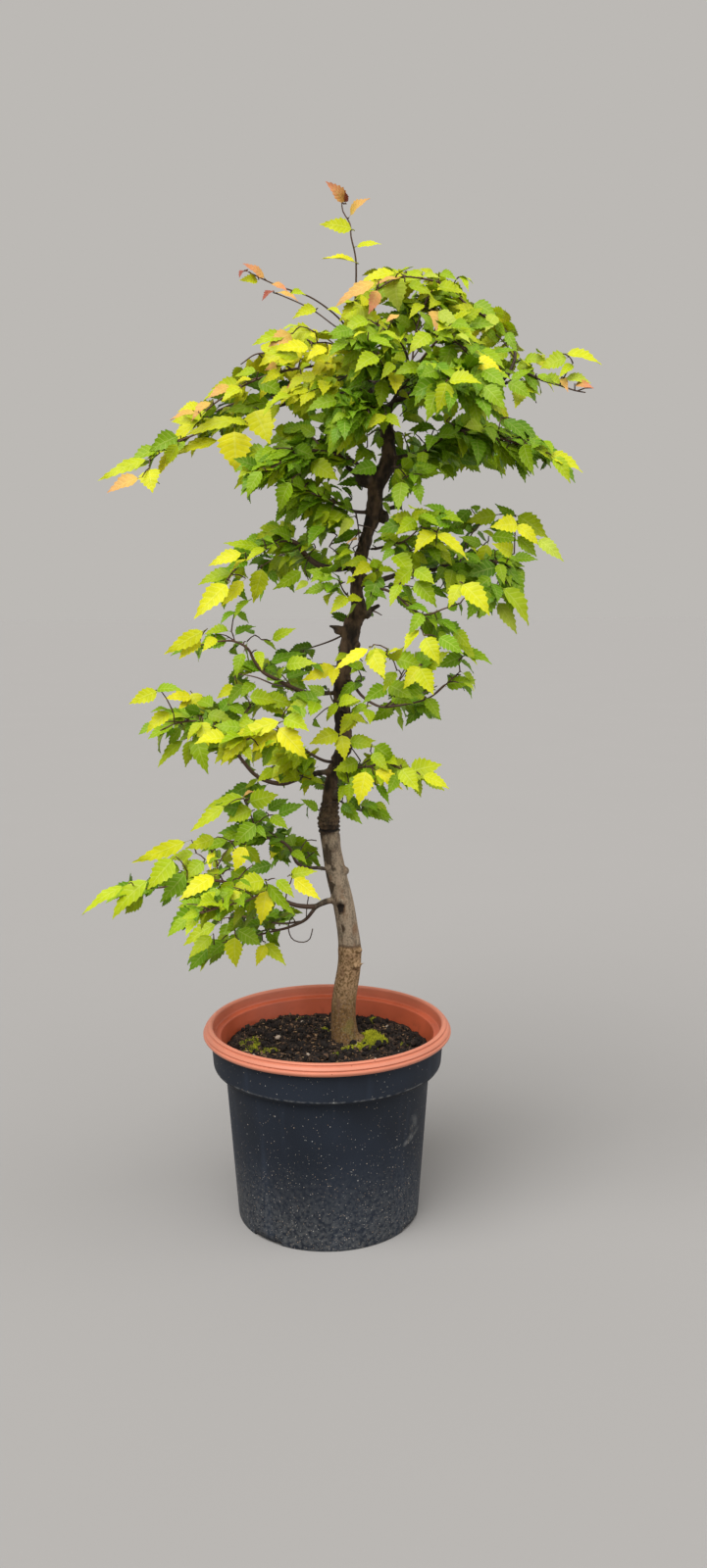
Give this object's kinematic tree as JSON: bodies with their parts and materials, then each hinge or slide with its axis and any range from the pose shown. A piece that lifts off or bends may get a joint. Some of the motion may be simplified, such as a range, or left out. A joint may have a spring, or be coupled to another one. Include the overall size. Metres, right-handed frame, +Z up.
{
  "type": "japanese zelkova bonsai",
  "caption": "Young upright broadleaf bonsai with a curving trunk and loose leafy sprays, in a terracotta-coloured pot set in a black nursery pot.",
  "frame": {"origin": "centre of the pot's base, on the surface that it stands on", "axes": "+Z up along the trunk, -Y towards the side that the picture shows"},
  "size_m": [0.5116, 0.3122, 1.0746],
  "materials": {
    "black_plastic": "dusty matte black moulded plastic",
    "terracotta_plastic": "satin terracotta-coloured moulded plastic",
    "soil": "crumbly dark peat with small stones and moss",
    "bark": "smooth grey-brown bark with knots",
    "leaf_lime": "thin young leaf, lime to yellow, satin",
    "leaf_green": "thin leaf, mid green, satin",
    "leaf_deep": "thin leaf, deeper green, satin"
  },
  "bodies": {
    "root": {"nursery_pot": "black_plastic", "inner_pot": "terracotta_plastic", "soil": "soil", "trunk": "bark", "spray_leader": "leaf_lime", "spray_apex_left": "leaf_lime", "spray_arch": "leaf_lime", "spray_far_right": "leaf_lime", "spray_crown_right": "leaf_green", "spray_crown_back": "leaf_deep", "spray_crown_left": "leaf_lime", "spray_left_upper": "leaf_lime", "spray_left_upper_back": "leaf_deep", "spray_left_knob": "leaf_green", "spray_right_upper": "leaf_green", "spray_left_760": "leaf_green", "spray_left_705": "leaf_green", "spray_right_700": "leaf_green", "spray_right_700_back": "leaf_deep", "spray_right_735": "leaf_green", "spray_right_660": "leaf_green", "spray_trunk_680": "leaf_lime", "spray_mid_back": "leaf_deep", "spray_left_575": "leaf_green", "spray_right_590": "leaf_green", "spray_trunk_560": "leaf_lime", "spray_far_left": "leaf_green", "spray_left_front": "leaf_lime", "spray_low_back": "leaf_deep", "spray_right_500": "leaf_lime", "spray_right_460": "leaf_green", "spray_low_left_upper": "leaf_green", "spray_low_left": "leaf_green", "spray_low_left_hanging": "leaf_green"}
  },
  "joints": []
}
